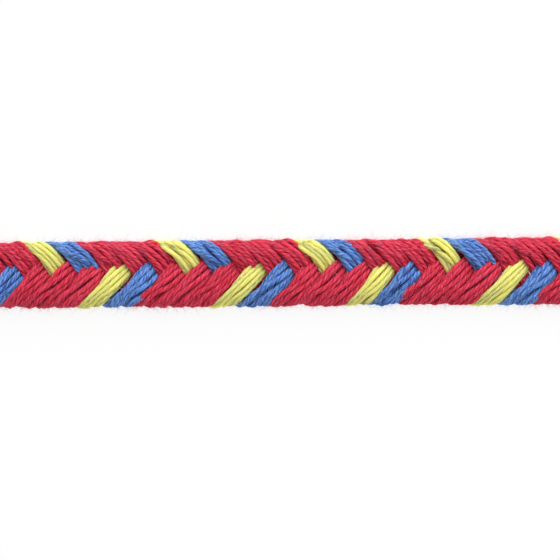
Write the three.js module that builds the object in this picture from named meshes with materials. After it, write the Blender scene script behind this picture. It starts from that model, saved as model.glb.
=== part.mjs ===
// A cut length of flat braid trim, plaited from five soft strands.
// Millimetres, +Z up. The braid lies along X with its flat underside on z = 0.
// Every strand weaves from edge to edge: it crosses one half of the front towards the middle,
// dives under the strands that meet it there, and comes back round the other edge.

import * as THREE from "three";

// driving dimensions
const braidWidth = 10;
const braidThickness = 3.9; // of the round plait, before its underside is pressed flat
const restCut = 0.4; // how much of the round underside is pressed flat
const repeatLength = 19.4; // one full weave of a strand, from an edge back to the same edge
const repeatCount = 6;
const strandGap = 0.48; // between neighbours, measured in a cross-section

// the route of a strand's centre
const pathReach = 3.25; // how far it swings to each side of the middle
const pathRise = 0.98; // how far it swings above and below mid-height
const riseSharpness = 1.3; // higher values keep it flat on its crossings and dive faster between them
const seamLean = 0.5; // sideways lean per mm of height, which sets the front seam off the middle

// how the strands share the room inside the plait
const widthMetric = 2.3; // a strand spreads this much more sideways than in height
const cornerPower = 10; // higher values leave sharper corners on a strand's section

// facets
const sectionSides = 8;
const stepsPerRepeat = 24;
const stepShares = [-0.4, 0, 0.4]; // where around a ring the neighbours are looked at, in steps

// the five strands, each with its place along the repeat
const strands = [
  { name: "strand_yellow", place: 0.12, color: 0xd4c65c, roughness: 0.9 },
  { name: "strand_blue", place: 0.345, color: 0x3f74b8, roughness: 0.9 },
  { name: "strand_red_a", place: 0.54, color: 0xbd2f45, roughness: 0.9 },
  { name: "strand_red_b", place: 0.733, color: 0xbd2f45, roughness: 0.9 },
  { name: "strand_red_c", place: 0.927, color: 0xbd2f45, roughness: 0.9 },
];

// the plaiting hand's uneven tension, as slow waves that shift the weave along X
const tensionWaves = [
  { length: 54, shift: 0.38, peakAt: 0 },
  { length: 30, shift: 0.2, peakAt: 7.5 },
];

const braidLength = repeatLength * repeatCount;
const stepLength = repeatLength / stepsPerRepeat;
const stepCount = stepsPerRepeat * repeatCount;
const middleHeight = braidThickness / 2 - restCut;

function tensionShift(x) {
  let shift = 0;
  for (const wave of tensionWaves) {
    shift += wave.shift * Math.cos((2 * Math.PI * (x - wave.peakAt)) / wave.length);
  }
  return shift;
}

// 0 at the upper edge, a quarter turn at the middle, half a turn at the lower edge
function weaveAngle(strand, x) {
  return 2 * Math.PI * ((x - tensionShift(x)) / repeatLength - strand.place);
}

// above mid-height on the way in from either edge, below it on the way out
function strandCentre(strand, x) {
  const angle = weaveAngle(strand, x);
  const wave = Math.tanh(riseSharpness * Math.sin(2 * angle)) / Math.tanh(riseSharpness);
  const height = pathRise * wave;
  const side = pathReach * Math.cos(angle) + seamLean * height;
  return { side, height: middleHeight + height };
}

// distance from the centre to the braid's rounded outline, leaned over like the strands
function reachToOutline(centre, dirSide, dirHeight) {
  const halfWide = braidWidth / 2;
  const halfThick = braidThickness / 2;
  const height = centre.height - middleHeight;
  const startAcross = (centre.side - seamLean * height) / halfWide;
  const startUp = height / halfThick;
  const across = (dirSide - seamLean * dirHeight) / halfWide;
  const up = dirHeight / halfThick;
  const a = across * across + up * up;
  const b = startAcross * across + startUp * up;
  const c = startAcross * startAcross + startUp * startUp - 1;
  return (Math.sqrt(b * b - a * c) - b) / a;
}

// distance from the centre to the border halfway to a neighbour, less half the gap
function reachToNeighbour(centre, other, dirSide, dirHeight) {
  const side = other.side - centre.side;
  const height = other.height - centre.height;
  const sideWeight = side / (widthMetric * widthMetric);
  const towards = dirSide * sideWeight + dirHeight * height;
  if (towards <= 0) return Infinity;
  const halfway = (side * sideWeight + height * height) / 2;
  const inset = (strandGap / 2) * Math.hypot(sideWeight, height);
  return (halfway - inset) / towards;
}

// how far a ray from a strand's centre runs before it meets a neighbour or the outline
function sectionReach(strand, x, dirSide, dirHeight) {
  const centre = strandCentre(strand, x);
  const reaches = [reachToOutline(centre, dirSide, dirHeight)];
  for (const other of strands) {
    if (other === strand) continue;
    reaches.push(reachToNeighbour(centre, strandCentre(other, x), dirSide, dirHeight));
  }
  const crowding = reaches.reduce((sum, reach) => sum + reach ** -cornerPower, 0);
  return crowding ** (-1 / cornerPower);
}

// one ring of a strand's surface, in the plane across the braid at x
function strandRing(strand, x) {
  const centre = strandCentre(strand, x);
  const ring = [];
  for (let i = 0; i < sectionSides; i += 1) {
    const ray = (2 * Math.PI * (i + 0.5)) / sectionSides;
    const rayLength = Math.hypot(widthMetric * Math.cos(ray), Math.sin(ray));
    const dirSide = (widthMetric * Math.cos(ray)) / rayLength;
    const dirHeight = Math.sin(ray) / rayLength;
    const around = stepShares.map((share) => x + share * stepLength);
    const reach = Math.min(...around.map((place) => sectionReach(strand, place, dirSide, dirHeight)));
    const toGround = dirHeight < 0 ? -centre.height / dirHeight : Infinity;
    const length = Math.min(reach, toGround);
    const height = Math.max(centre.height + length * dirHeight, 0);
    ring.push(new THREE.Vector3(x, centre.side + length * dirSide, height));
  }
  return ring;
}

function ringMiddle(ring) {
  const middle = new THREE.Vector3();
  for (const point of ring) middle.addScaledVector(point, 1 / ring.length);
  return middle;
}

// a closed tube through the rings, cut square at both ends
function strandGeometry(strand) {
  const rings = [];
  for (let step = 0; step <= stepCount; step += 1) {
    rings.push(strandRing(strand, step * stepLength - braidLength / 2));
  }
  const points = rings.flat();
  const startMiddle = points.push(ringMiddle(rings[0])) - 1;
  const endMiddle = points.push(ringMiddle(rings[stepCount])) - 1;
  const lastRing = stepCount * sectionSides;
  const faces = [];
  for (let i = 0; i < sectionSides; i += 1) {
    const next = (i + 1) % sectionSides;
    for (let here = 0; here < lastRing; here += sectionSides) {
      const there = here + sectionSides;
      faces.push(here + i, here + next, there + next);
      faces.push(here + i, there + next, there + i);
    }
    faces.push(startMiddle, next, i);
    faces.push(endMiddle, lastRing + i, lastRing + next);
  }
  const geometry = new THREE.BufferGeometry().setFromPoints(points);
  geometry.setIndex(faces);
  geometry.computeVertexNormals();
  return geometry;
}

const braidTrim = new THREE.Group();
for (const strand of strands) {
  const material = new THREE.MeshStandardMaterial({
    color: strand.color,
    roughness: strand.roughness,
    metalness: 0,
  });
  const mesh = new THREE.Mesh(strandGeometry(strand), material);
  mesh.name = strand.name;
  braidTrim.add(mesh);
}

export default braidTrim;
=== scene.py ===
import math
import random

import bmesh
import bpy
import numpy as np
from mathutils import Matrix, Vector


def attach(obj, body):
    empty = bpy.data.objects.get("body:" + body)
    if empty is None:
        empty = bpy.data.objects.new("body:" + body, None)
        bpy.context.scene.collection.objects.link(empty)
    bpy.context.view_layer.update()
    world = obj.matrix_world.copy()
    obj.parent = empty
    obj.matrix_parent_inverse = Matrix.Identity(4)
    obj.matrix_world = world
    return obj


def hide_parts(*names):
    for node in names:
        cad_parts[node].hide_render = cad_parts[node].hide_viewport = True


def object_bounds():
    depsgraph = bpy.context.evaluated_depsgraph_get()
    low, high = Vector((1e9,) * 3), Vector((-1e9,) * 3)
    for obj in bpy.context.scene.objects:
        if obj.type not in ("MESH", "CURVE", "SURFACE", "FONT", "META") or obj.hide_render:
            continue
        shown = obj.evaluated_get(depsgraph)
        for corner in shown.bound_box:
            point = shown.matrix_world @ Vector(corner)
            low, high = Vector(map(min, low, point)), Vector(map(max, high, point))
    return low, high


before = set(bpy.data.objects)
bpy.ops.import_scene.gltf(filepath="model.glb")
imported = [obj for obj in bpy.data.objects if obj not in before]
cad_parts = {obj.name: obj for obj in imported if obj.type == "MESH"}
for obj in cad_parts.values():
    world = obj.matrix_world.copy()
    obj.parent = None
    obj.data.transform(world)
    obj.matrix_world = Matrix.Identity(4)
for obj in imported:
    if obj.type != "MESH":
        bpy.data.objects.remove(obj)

scene = bpy.context.scene
mm = 0.001
cadLow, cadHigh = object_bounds()

# the photo's square frame, and where the braid lies in it
photo = {
    "pixel": 0.147 * mm,        # measured on the braid
    "side": 560,                # pixels
    "braidAboveCentre": 6.7,    # pixels
    "slope": 0.0084,            # radians, the braid rises to the right
    "lens": 100,
    "sensor": 36,
    "nearest": 5 * mm,          # that the camera sees
}


def addCamera():
    camera = bpy.data.objects.new("camera", bpy.data.cameras.new("camera"))
    camera.data.sensor_width = photo["sensor"]
    camera.data.lens = photo["lens"]
    camera.data.clip_start = photo["nearest"]
    distance = photo["side"] * photo["pixel"] * photo["lens"] / photo["sensor"]
    middle = (cadLow + cadHigh) / 2
    below = photo["braidAboveCentre"] * photo["pixel"]
    camera.location = (middle.x, middle.y - below, middle.z + distance)
    camera.rotation_euler = (0, 0, -photo["slope"])
    scene.collection.objects.link(camera)
    scene.camera = camera


addCamera()
print("camera placed")


# shader maths on sockets
class Sock:
    def __init__(self, tree, link):
        self.tree = tree
        self.link = link

    def __add__(self, other):
        return self.tree.maths("ADD", self, other)

    def __sub__(self, other):
        return self.tree.maths("SUBTRACT", self, other)

    def __rsub__(self, other):
        return self.tree.maths("SUBTRACT", other, self)

    def __mul__(self, other):
        return self.tree.maths("MULTIPLY", self, other)

    def __pow__(self, other):
        return self.tree.maths("POWER", self, other)

    __radd__ = __add__
    __rmul__ = __mul__


# the nodes of a material or of the world
class ShaderTree:
    def __init__(self, owner):
        self.owner = owner
        owner.use_nodes = True
        self.nodes = owner.node_tree.nodes
        self.links = owner.node_tree.links
        self.nodes.clear()

    def node(self, kind, settings=None, inputs=None, output=0):
        made = self.nodes.new(kind)
        for key, value in (settings or {}).items():
            setattr(made, key, value)
        for key, value in (inputs or {}).items():
            if isinstance(value, Sock):
                self.links.new(value.link, made.inputs[key])
            else:
                made.inputs[key].default_value = value
        return Sock(self, made.outputs[output])

    def maths(self, operation, *values):
        return self.node("ShaderNodeMath", {"operation": operation}, dict(enumerate(values)))

    def axis(self, vector, name):
        return self.node("ShaderNodeSeparateXYZ", None, {"Vector": vector}, name)

    def finish(self, shader, kind="ShaderNodeOutputMaterial"):
        output = self.nodes.new(kind)
        self.links.new(shader.link, output.inputs["Surface"])
        return self.owner


# the plait, in millimetres
plait = {
    "width": 11.15,
    "thickness": 3.9,
    "roundness": 2.4,           # of the outline: 2 is an oval, higher values are boxier
    "middleHeight": 1.7,
    "repeat": 19.4,
    "reach": 4.74,              # of a strand's middle, to each side
    "straightness": 0.73,       # nearer 1, the strands cross straighter and turn sharper at the edges
    "rise": 1.0,                # of a strand's middle, above and below the plait's
    "riseSharpness": 1.8,
    "lean": 0.35,               # of the outline, sideways for each millimetre of height
    "seamLean": 0.2,            # and of the strands' crossings
    "seamRise": 0.78,           # how far the seams lie towards the upper edge, front and back
    "lead": 0.205,              # radians, how much further on all the strands are
    "haste": 0.18,              # radians, how much sooner the strands cross the lower back
    "hasteTurn": math.pi / 10,  # past the seam on the front, where they are quickest
}
# the uneven tension of the plaiting hand
tensionWaves = [
    {"length": 54, "shift": 0.38, "peakAt": 0},
    {"length": 30, "shift": 0.2, "peakAt": 7.5},
]
# place is where along the repeat a strand turns round the upper edge
strands = [
    {"node": "strand_yellow", "place": 0.12, "width": 0.84, "slot": "yarn_yellow", "seed": 8},
    {"node": "strand_blue", "place": 0.345, "width": 1.05, "slot": "yarn_blue", "seed": 13},
    {"node": "strand_red_a", "place": 0.54, "width": 1, "slot": "yarn_red", "seed": 23},
    {"node": "strand_red_b", "place": 0.733, "width": 1, "slot": "yarn_red", "seed": 37},
    {"node": "strand_red_c", "place": 0.927, "width": 1, "slot": "yarn_red", "seed": 41},
]
middleHeight = plait["middleHeight"]
halfLength = cadHigh.x / mm


# how far along its weave a strand is: 0 at the upper edge, half a turn at the lower edge
def weaveAngle(strand, x):
    shift = 0
    for wave in tensionWaves:
        shift += wave["shift"] * np.cos(2 * np.pi * (x - wave["peakAt"]) / wave["length"])
    angle = 2 * np.pi * ((x - shift) / plait["repeat"] - strand["place"])
    return angle + plait["lead"] - plait["haste"] * np.cos(angle - plait["hasteTurn"])


# slow seeded waves between -1 and 1, each as long as its share of the length
waveShares = (1, 0.61, 0.37)


def unevenness(rng, x, length):
    total = np.zeros_like(x)
    for share in waveShares:
        total += np.cos(2 * np.pi * x / (length * share) + rng.uniform(0, 2 * np.pi)) / len(waveShares)
    return total


# the yarns of a strand, in millimetres
yarn = {
    "rim": 9,                   # round the outside of a strand
    "core": 2,
    "coreShare": 0.45,          # how far out the core's yarns lie, against the rim's
    "radius": 0.4,
    "radiusChoice": 0.05,       # how much one yarn is thicker or thinner than another
    "radiusWaves": 0.04,        # and thicker or thinner along its way
    "radiusWaveLength": 9,
    "room": 0.68,               # of the radius, that a yarn keeps to itself in the crush
    "strandRoom": 0.76,         # and where it meets another strand
    "bundlePitch": 60,          # the strand's own slow twist
    "bundleSwing": 0.3,         # how much the twist opens and closes from edge to edge
    "bundleWaves": 0.1,         # radians
    "bundleWaveLength": 15,
    "spread": 1.56,             # half the strand's width at the edges, along the braid
    "midSpread": 0.25,          # and how much more of it there is in the middle
    "evenness": 0.5,            # nearer 1, the yarns of a layer lie at more even distances
    "layer": 0.46,              # how far the outer and inner layers are from the strand's middle
    "layerSharpness": 2,
    "rollSharpness": 2.5,       # how fast the layers roll over at the edges
    "together": 0.25,           # how much the yarns of a strand dive at the same place
    "step": 0.23,
    "coreSteps": 3,             # how much longer the hidden core's steps are
    "smoothings": 20,
    "smoothing": 0.5,
    "raggedEnd": 0.35,
}
plies = {
    "count": 4,
    "corners": 3,               # of a yarn's section, to each ply
    "depth": 0.26,              # of the yarn's radius
    "pitch": 5,
    "waves": 0.5,               # radians
    "waveLength": 5,
    "start": 6,                 # radians, the most that a yarn is turned at its start
}
perStrand = yarn["rim"] + yarn["core"]
sectionSides = plies["corners"] * plies["count"]


# a yarn lies beside the strand's middle, a little behind or ahead of it, and in its outer or inner layer
def firstPlaces(strand, index, x, rng):
    onRim = index < yarn["rim"]
    share = index / yarn["rim"] if onRim else (index - yarn["rim"]) / yarn["core"]
    outward = 1 if onRim else yarn["coreShare"]
    angle = weaveAngle(strand, x)
    swing = np.pi / 2 * (np.sin(angle) - 1) * yarn["bundleSwing"]
    wander = yarn["bundleWaves"] * unevenness(rng, x, yarn["bundleWaveLength"])
    turn = 2 * np.pi * (share + x / yarn["bundlePitch"]) + strand["seed"] - swing + wander
    spread = yarn["spread"] * strand["width"] + yarn["midSpread"] * np.sin(angle) ** 2
    even = yarn["evenness"]
    behind = spread * outward * np.arcsin(even * np.cos(turn)) / np.arcsin(even)
    layer = yarn["layer"] * outward * np.tanh(yarn["layerSharpness"] * np.sin(turn))
    own = weaveAngle(strand, x - behind)
    together = yarn["together"]
    diving = angle + (own - angle) * (1 - together + together * np.cos(2 * angle))
    sharp = plait["riseSharpness"]
    height = plait["rise"] * np.tanh(sharp * np.sin(2 * diving)) / np.tanh(sharp)
    facing = np.pi / 2 * np.tanh(yarn["rollSharpness"] * np.sin(own))
    up = height + layer * np.sin(facing)
    straight = plait["straightness"]
    crossing = plait["reach"] * np.arcsin(straight * np.cos(own)) / np.arcsin(straight)
    crossing += plait["seamRise"] * np.sin(own) ** 2
    across = crossing + layer * np.cos(facing) + plait["seamLean"] * up
    return np.stack([across, up], 1)


# the places and radii of all yarns before they touch, strand after strand
def looseYarns(x):
    first, radii = [], []
    for strand in strands:
        rng = random.Random(strand["seed"])
        usual = yarn["radius"] * math.sqrt(strand["width"])
        for index in range(perStrand):
            first.append(firstPlaces(strand, index, x, rng))
            own = 1 + yarn["radiusChoice"] * rng.uniform(-1, 1)
            radii.append(usual * (own + yarn["radiusWaves"] * unevenness(rng, x, yarn["radiusWaveLength"])))
    return np.array(first), np.array(radii)


# how the yarns settle in planes across the braid, in millimetres
settling = {
    "step": 0.39,
    "beyond": 1,                # past each end of the braid
    "rounds": 120,
    "nearAcross": 1.3,          # yarns further apart than this don't meet
    "nearUp": 0.8,
    "ahead": 0.55,              # how far along the braid two yarns that cross are followed
    "parallel": 0.15,           # higher values take more pairs of yarns as side by side
    "push": 0.45,
    "longestPush": 0.3,
    "hold": 0.08,               # how firmly a yarn keeps to its first place
    "strandHold": 0.15,         # and a whole strand
    "gather": 0.01,             # how firmly a strand's yarns keep together
    "stiffness": 0.75,
    "leastGap": 1e-6,
    "leastPush": 1e-4,
}


# moves values towards the average of their neighbours, with the ends carried straight on
def smoothed(values, amount):
    before = 2 * values[:, :1] - values[:, 1:2]
    after = 2 * values[:, -1:] - values[:, -2:-1]
    longer = np.concatenate([before, values, after], 1)
    return values + amount * ((longer[:, 2:] + longer[:, :-2]) / 2 - values)


def squared(vectors):
    return (vectors ** 2).sum(1)


# moves yarns that lie too close away from each other, square to the way that they run
def pushApart(first, moved, radii, slopes):
    places = first + moved
    one, two = np.triu_indices(len(places), 1)
    rooms = np.where(one // perStrand == two // perStrand, yarn["room"], yarn["strandRoom"])
    gap = places[two] - places[one]
    near = (np.abs(gap[..., 1]) < settling["nearUp"]) & (np.abs(gap[..., 0]) < settling["nearAcross"])
    pair, at = np.nonzero(near)
    gap = gap[pair, at]
    i, j = one[pair], two[pair]
    parting = slopes[j, at] - slopes[i, at]
    ahead = -(gap * parting).sum(1) / (squared(parting) + settling["parallel"])
    gap = gap + parting * np.clip(ahead, -settling["ahead"], settling["ahead"])[:, None]
    lie = (slopes[i, at] + slopes[j, at]) / 2
    along = (gap * lie).sum(1) / (1 + squared(lie))
    across = gap - lie * along[:, None]
    distance = np.sqrt(np.maximum(squared(gap) - along ** 2 * (1 + squared(lie)), settling["leastGap"]))
    overlap = np.maximum((radii[i, at] + radii[j, at]) * rooms[pair] - distance, 0)
    move = across * (overlap * distance / np.maximum(squared(across), settling["leastPush"]))[:, None]
    length = np.maximum(np.linalg.norm(move, axis=1), settling["leastGap"])
    move *= np.minimum(1, settling["longestPush"] / length)[:, None] * settling["push"]
    for pushed, sign in ((i, -1), (j, 1)):
        spot = pushed * moved.shape[1] + at
        for axis in (0, 1):
            total = np.bincount(spot, sign * move[:, axis], minlength=radii.size)
            moved[..., axis] += total.reshape(radii.shape)


# draws the yarns back towards each other and towards their first places, and evens them out
def heldBack(first, moved):
    shape = (len(strands), perStrand, -1, 2)
    bundle = (first + moved).reshape(shape)
    byStrand = moved.reshape(shape)
    byStrand -= settling["gather"] * (bundle - bundle.mean(1, keepdims=True))
    byStrand -= settling["strandHold"] * byStrand.mean(1, keepdims=True)
    return smoothed(byStrand.reshape(first.shape) * (1 - settling["hold"]), settling["stiffness"])


# keeps whole yarns inside the plait's outline and above the surface that it lies on
def keptInside(places, radii, slopes):
    lean, power = plait["lean"], plait["roundness"]
    roomAcross = plait["width"] / 2 - radii * np.hypot(1, slopes[..., 0])
    roomUp = plait["thickness"] / 2 - radii * np.hypot(1, slopes[..., 1])
    across = (places[..., 0] - lean * places[..., 1]) / roomAcross
    up = places[..., 1] / roomUp
    excess = np.maximum((np.abs(across) ** power + np.abs(up) ** power) ** (1 / power), 1)
    places[..., 1] = up / excess * roomUp
    places[..., 0] = across / excess * roomAcross + lean * places[..., 1]
    places[..., 1] = np.maximum(places[..., 1], radii - middleHeight)
    return places


# the yarns of all strands pushed apart until they lie side by side
def settledYarns():
    end = halfLength + settling["beyond"]
    x = np.arange(-end, end + settling["step"], settling["step"])
    first, radii = looseYarns(x)
    moved = np.zeros_like(first)
    for again in range(settling["rounds"]):
        slopes = np.gradient(first + moved, settling["step"], axis=1)
        pushApart(first, moved, radii, slopes)
        moved = heldBack(first, moved)
        moved = keptInside(first + moved, radii, slopes) - first
    return x, first + moved, radii


# the points, radii and twist of one yarn from cut end to cut end
def yarnRoute(index, x, places, radii, rng):
    onRim = index < yarn["rim"]
    start = -halfLength + rng.uniform(0, yarn["raggedEnd"])
    end = halfLength - rng.uniform(0, yarn["raggedEnd"])
    step = yarn["step"] if onRim else yarn["coreSteps"] * yarn["step"]
    fine = np.linspace(start, end, int((end - start) / step))
    across = np.interp(fine, x, places[:, 0])
    up = np.interp(fine, x, places[:, 1]) + middleHeight
    radius = np.interp(fine, x, radii)
    for again in range(yarn["smoothings"]):
        across, up = smoothed(np.array([across, up]), yarn["smoothing"])
    points = np.stack([fine, across, np.maximum(up, radius)], 1)
    along = np.concatenate([[0], np.cumsum(np.linalg.norm(np.diff(points, axis=0), axis=1))])
    wander = plies["waves"] * unevenness(rng, fine, plies["waveLength"])
    twist = -2 * np.pi * along / plies["pitch"] + wander + rng.uniform(0, plies["start"])
    if not onRim:
        twist = 0 * along
    return points, radius, twist


# a closed section for curves, its corners at these shares of the radius
def sectionCurve(name, shares):
    curve = bpy.data.curves.new(name, "CURVE")
    curve.dimensions = "2D"
    spline = curve.splines.new("POLY")
    spline.points.add(len(shares) - 1)
    spline.use_cyclic_u = True
    for i, share in enumerate(shares):
        turn = 2 * math.pi * i / len(shares)
        spline.points[i].co = (share * math.cos(turn), share * math.sin(turn), 0, 1)
    section = bpy.data.objects.new(name, curve)
    scene.collection.objects.link(section)
    return section


# one mesh of all the routes, each with the section swept along it
def curveMesh(name, routes, section):
    curve = bpy.data.curves.new(name, "CURVE")
    curve.dimensions = "3D"
    curve.bevel_mode = "OBJECT"
    curve.bevel_object = section
    curve.use_fill_caps = True
    curve.twist_mode = "MINIMUM"
    for points, radius, twist in routes:
        spline = curve.splines.new("POLY")
        spline.points.add(len(points) - 1)
        spline.points.foreach_set("co", np.column_stack([points * mm, np.ones(len(points))]).ravel())
        spline.points.foreach_set("radius", np.asarray(radius * mm, np.float32))
        spline.points.foreach_set("tilt", np.asarray(twist, np.float32))
        spline.use_smooth = True
    holder = bpy.data.objects.new(name + "_curve", curve)
    scene.collection.objects.link(holder)
    bpy.context.view_layer.update()
    graph = bpy.context.evaluated_depsgraph_get()
    mesh = bpy.data.meshes.new_from_object(holder.evaluated_get(graph))
    mesh.name = name
    bpy.data.objects.remove(holder)
    bpy.data.curves.remove(curve)
    return mesh


# the first colour is the yarn's colour with painted shade, low between the plies, the second the same
# colour with painted highlights, on their crowns; the yellow's valleys are painted nearly as light as its
# crowns, for light passing through it; glow is how much each colour of light spreads inside a yarn
colours = {
    "yarn_yellow": {"paintedShade": (0.85, 0.72, 0.14), "paintedHighlight": (0.79, 0.77, 0.2), "glow": (3.3, 3, 1.2)},
    "yarn_blue": {"paintedShade": (0.016, 0.045, 0.21), "paintedHighlight": (0.18, 0.35, 0.74), "glow": (0.4, 0.6, 1)},
    "yarn_red": {"paintedShade": (0.31, 0.001, 0.012), "paintedHighlight": (0.73, 0.07, 0.13), "glow": (1.3, 0.5, 0.5)},
}
fibreLook = {
    "yarnLength": 155,          # millimetres
    "middle": 0.28,             # from all painted shade at 0 to all painted highlight at 1
    "toneShade": 0.12,          # how much paler one yarn is than another
    "toneShift": 50,            # moves the pattern on from yarn to yarn
    "crownShade": 0.26,         # painted highlight and shade: how much paler the plies' crowns are painted than the valleys between them
    # painted glints: streaks along the plies, mixed towards the painted highlight colour; they also raise
    # the relief
    "streakAndGlint": {"round": 1.9, "along": 0.8, "detail": 2, "shade": 2},
    "fibre": {"round": 7, "along": 2.9, "detail": 2, "shade": 1.5},
    "fibreRelief": 0.5,         # against that of the streaks
    "relief": 0.6,
    "reliefDepth": 0.06 * mm,
    "roughness": 0.5,
    "specular": 0.1,
    "sheen": 0.3,
    "sheenRoughness": 0.5,
    "subsurface": 0.8,
    "subsurfaceScale": 0.7 * mm,
}


# u runs along a yarn and v round it, from one ply valley past the others;
# the fibres run with the yarn, across the plies
def yarnMaterial(slot, paintedShade, paintedHighlight, glow):
    tree = ShaderTree(bpy.data.materials.new(slot + "_look"))
    coords = tree.node("ShaderNodeUVMap", {"uv_map": "UVMap"})
    along = tree.axis(coords, "X") * fibreLook["yarnLength"]
    around = tree.axis(coords, "Y")
    tone = tree.node("ShaderNodeAttribute", {"attribute_name": "yarnTone"}, None, "Fac")
    turn = (around - along * (1 / plies["pitch"])) * (2 * math.pi)
    ringX = tree.maths("COSINE", turn)
    ringY = tree.maths("SINE", turn)

    def noise(look):
        place = tree.node("ShaderNodeCombineXYZ", None, {
            "X": ringX * look["round"],
            "Y": ringY * look["round"],
            "Z": along * look["along"] + tone * fibreLook["toneShift"],
        })
        return tree.node("ShaderNodeTexNoise", None, {"Vector": place, "Scale": 1, "Detail": look["detail"]})

    # the streaks are painted glints on the plies as well as relief; the fibres are fine grain
    streakAndGlint = noise(fibreLook["streakAndGlint"])
    fibre = noise(fibreLook["fibre"])
    # painted highlight on the ply crowns and painted shade in the valleys between them; the mix below also
    # takes each yarn's tone, the painted glints and the fibre grain
    paintedCrownLight = (0.5 - tree.maths("COSINE", around * (2 * math.pi * plies["count"])) * 0.5) ** 2
    shade = tone * fibreLook["toneShade"] + fibreLook["middle"] + paintedCrownLight * fibreLook["crownShade"]
    shade = shade + (streakAndGlint - 0.5) * fibreLook["streakAndGlint"]["shade"]
    shade = shade + (fibre - 0.5) * fibreLook["fibre"]["shade"]
    colourInputs = {0: shade, 6: paintedShade + (1,), 7: paintedHighlight + (1,)}     # the factor, then the two colours of Mix
    base = tree.node("ShaderNodeMix", {"data_type": "RGBA", "blend_type": "MIX"}, colourInputs, 2)
    relief = tree.node("ShaderNodeBump", None, {
        "Height": streakAndGlint + fibre * fibreLook["fibreRelief"],
        "Strength": fibreLook["relief"],
        "Distance": fibreLook["reliefDepth"],
    })
    return tree.finish(tree.node("ShaderNodeBsdfPrincipled", None, {
        "Base Color": base,
        "Normal": relief,
        "Roughness": fibreLook["roughness"],
        "Specular IOR Level": fibreLook["specular"],
        "Sheen Weight": fibreLook["sheen"],
        "Sheen Roughness": fibreLook["sheenRoughness"],
        "Sheen Tint": paintedHighlight + (1,),
        "Subsurface Weight": fibreLook["subsurface"],
        "Subsurface Radius": glow,
        "Subsurface Scale": fibreLook["subsurfaceScale"],
    }))


# loose hairs, in millimetres; headings are shares of a hair's length
fuzz = {
    "hairs": 2200,              # on each strand
    "endHairs": 4,              # on each cut yarn
    "sides": 3,
    "radius": 0.013,
    "tipShare": 0.6,            # how much thinner a hair is at its tip
    "length": (0.5, 1.6),
    "endLength": (0.3, 1),
    "points": 5,
    "boxiness": 3,              # of the ovals that say how near the outline a yarn lies
    "outermost": 0.62,          # 1 is on the outline, and yarns further in grow no hairs
    "edges": 0.85,              # how much the hairs keep to the two edges
    "endSteps": 2,              # that grow none
    "rootDepth": 0.8,           # of the yarn's radius
    "rootBeside": 0.5,
    "onward": (0.5, 1),
    "outward": (0.1, 0.6),
    "sideways": 0.6,
    "endRoot": 0.25,
    "bend": 0.9,
    "lowest": 0.02,
    "roughness": 0.5,
    "specular": 0.4,
}


# the hairs take the yarn's colour with painted highlights
def fuzzMaterial(slot, paintedHighlight):
    tree = ShaderTree(bpy.data.materials.new(slot + "_fuzz"))
    return tree.finish(tree.node("ShaderNodeBsdfPrincipled", None, {
        "Base Color": paintedHighlight + (1,),
        "Roughness": fuzz["roughness"],
        "Specular IOR Level": fuzz["specular"],
    }))


def hairRoute(start, heading, length, rng):
    along = np.linspace(0, 1, fuzz["points"])[:, None]
    bend = rng.uniform(-fuzz["bend"], fuzz["bend"], 3)
    points = start + length * (heading * along + bend * along ** 2 * 0.5)
    points[:, 2] = np.maximum(points[:, 2], fuzz["lowest"])
    return points, fuzz["radius"] * (1 - fuzz["tipShare"] * along[:, 0]), 0 * along[:, 0]


# hairs that leave the outermost yarns, lie along them and curl away from the braid
def sideHairs(routes, rng):
    hairs = []
    beside, sideways, power = fuzz["rootBeside"], fuzz["sideways"], fuzz["boxiness"]
    while len(hairs) < fuzz["hairs"]:
        points, radius, twist = routes[rng.integers(len(routes))]
        i = rng.integers(fuzz["endSteps"], len(points) - fuzz["endSteps"])
        across = points[i, 1] / (plait["width"] / 2)
        up = (points[i, 2] - middleHeight) / (plait["thickness"] / 2)
        outer = (abs(across) ** power + abs(up) ** power) ** (1 / power)
        if outer < fuzz["outermost"] or abs(across) < rng.uniform(0, fuzz["edges"]):
            continue
        out = np.array([0, across * abs(across) / plait["width"], up * abs(up) / plait["thickness"]])
        out /= np.linalg.norm(out)
        tangent = points[i + 1] - points[i - 1]
        tangent /= np.linalg.norm(tangent)
        side = np.cross(tangent, out)
        heading = rng.choice((-1, 1)) * rng.uniform(*fuzz["onward"]) * tangent
        heading = heading + rng.uniform(*fuzz["outward"]) * out + rng.uniform(-sideways, sideways) * side
        start = points[i] + radius[i] * (fuzz["rootDepth"] * out + rng.uniform(-beside, beside) * side)
        hairs.append(hairRoute(start, heading, rng.uniform(*fuzz["length"]), rng))
    return hairs


# hairs that stand out of the cut yarns
def cutHairs(routes, rng):
    hairs = []
    root, sideways = fuzz["endRoot"], fuzz["sideways"]
    for points, radius, twist in routes:
        for end, way in ((points[0], -1), (points[-1], 1)):
            for again in range(fuzz["endHairs"]):
                off = rng.uniform(-root, root, 3) * (0, 1, 1)
                heading = np.array([way, *rng.uniform(-sideways, sideways, 2)])
                hairs.append(hairRoute(end + off, heading, rng.uniform(*fuzz["endLength"]), rng))
    return hairs


def addPiece(name, mesh, look, strand):
    mesh.materials.clear()
    mesh.materials.append(look)
    piece = bpy.data.objects.new(name, mesh)
    scene.collection.objects.link(piece)
    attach(piece, "root")
    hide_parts(strand["node"])
    print(name, sum(len(p.vertices) - 2 for p in mesh.polygons), "triangles")


# gives each yarn of the mesh its own tone; the corners of the caps come first and keep tone 0
def markTones(mesh, routes, rng):
    tones = np.zeros(len(mesh.vertices), np.float32)
    corner = 2 * sectionSides * len(routes)
    for points, radius, twist in routes:
        tones[corner:corner + sectionSides * len(points)] = rng.random()
        corner += sectionSides * len(points)
    mesh.attributes.new("yarnTone", "FLOAT", "POINT").data.foreach_set("value", tones)


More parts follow.
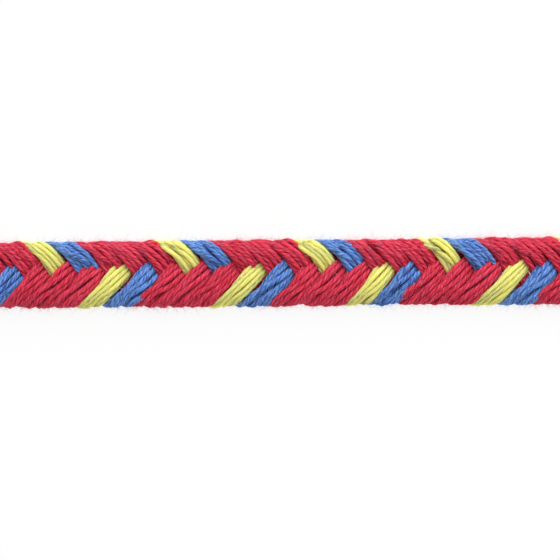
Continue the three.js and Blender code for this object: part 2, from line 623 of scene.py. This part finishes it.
def addStrands():
    plyShares = [1 - plies["depth"]] + [1] * (plies["corners"] - 1)
    yarnSection = sectionCurve("yarn_section", plyShares * plies["count"])
    hairSection = sectionCurve("hair_section", [1] * fuzz["sides"])
    yarnLooks = {slot: yarnMaterial(slot, **look) for slot, look in colours.items()}
    fuzzLooks = {slot: fuzzMaterial(slot, look["paintedHighlight"]) for slot, look in colours.items()}
    x, places, radii = settledYarns()
    print("yarns settled")
    for number, strand in enumerate(strands):
        rng = random.Random(strand["seed"] + 1)
        hairRng = np.random.default_rng(strand["seed"])
        before = number * perStrand
        routes = [yarnRoute(i, x, places[before + i], radii[before + i], rng) for i in range(perStrand)]
        yarns = curveMesh(strand["node"] + "_yarns", routes, yarnSection)
        markTones(yarns, routes, rng)
        addPiece(yarns.name, yarns, yarnLooks[strand["slot"]], strand)
        hairs = sideHairs(routes[:yarn["rim"]], hairRng) + cutHairs(routes, hairRng)
        loose = curveMesh(strand["node"] + "_fuzz", hairs, hairSection)
        addPiece(loose.name, loose, fuzzLooks[strand["slot"]], strand)
    bpy.data.objects.remove(yarnSection)
    bpy.data.objects.remove(hairSection)


addStrands()

ground = {
    "radius": 1.5,              # metres
    "corners": 64,
    "base": 0.07,
    "white": 0.9,               # its own light, which keeps it an even white
    "roughness": 0.9,
    "specular": 0.1,
}


def addFloor():
    shape = bmesh.new()
    bmesh.ops.create_circle(shape, cap_ends=True, segments=ground["corners"], radius=ground["radius"])
    mesh = bpy.data.meshes.new("floor")
    shape.to_mesh(mesh)
    shape.free()
    tree = ShaderTree(bpy.data.materials.new("floor_look"))
    mesh.materials.append(tree.finish(tree.node("ShaderNodeBsdfPrincipled", None, {
        "Base Color": (ground["base"], ground["base"], ground["base"], 1),
        "Roughness": ground["roughness"],
        "Specular IOR Level": ground["specular"],
        "Emission Color": (1, 1, 1, 1),
        "Emission Strength": ground["white"],
    })))
    floor = bpy.data.objects.new("floor", mesh)
    scene.collection.objects.link(floor)


# the soft light all round: how bright at the horizon, how much less overhead, and more at the sides
studio = {
    "level": 0.92,
    "lower": 0.58,
    "top": 0.22,                # more towards the braid's upper edge
    "sides": 0.6,               # more towards both edges
    "lamp": 7,                  # watts
    "lampSize": 0.9,            # metres
    "lampPlace": (0.2, 0.46, 0.5),
}


def addLights():
    tree = ShaderTree(bpy.data.worlds.new("studio"))
    direction = tree.node("ShaderNodeTexCoord", None, None, "Generated")
    towardsTop = tree.axis(direction, "Y")
    upward = tree.axis(direction, "Z")
    strength = studio["level"] - upward * studio["lower"] + towardsTop * studio["top"]
    strength = strength + towardsTop * towardsTop * studio["sides"]
    light = tree.node("ShaderNodeBackground", None, {"Color": (1, 1, 1, 1), "Strength": strength})
    scene.world = tree.finish(light, "ShaderNodeOutputWorld")
    lamp = bpy.data.lights.new("softbox", "AREA")
    lamp.shape = "DISK"
    lamp.size = studio["lampSize"]
    lamp.energy = studio["lamp"]
    holder = bpy.data.objects.new("softbox", lamp)
    holder.location = studio["lampPlace"]
    holder.rotation_euler = (Vector((0, 0, 0)) - holder.location).to_track_quat("-Z", "Y").to_euler()
    scene.collection.objects.link(holder)
    scene.view_settings.view_transform = "Standard"


addFloor()
addLights()
print("floor and lights placed")
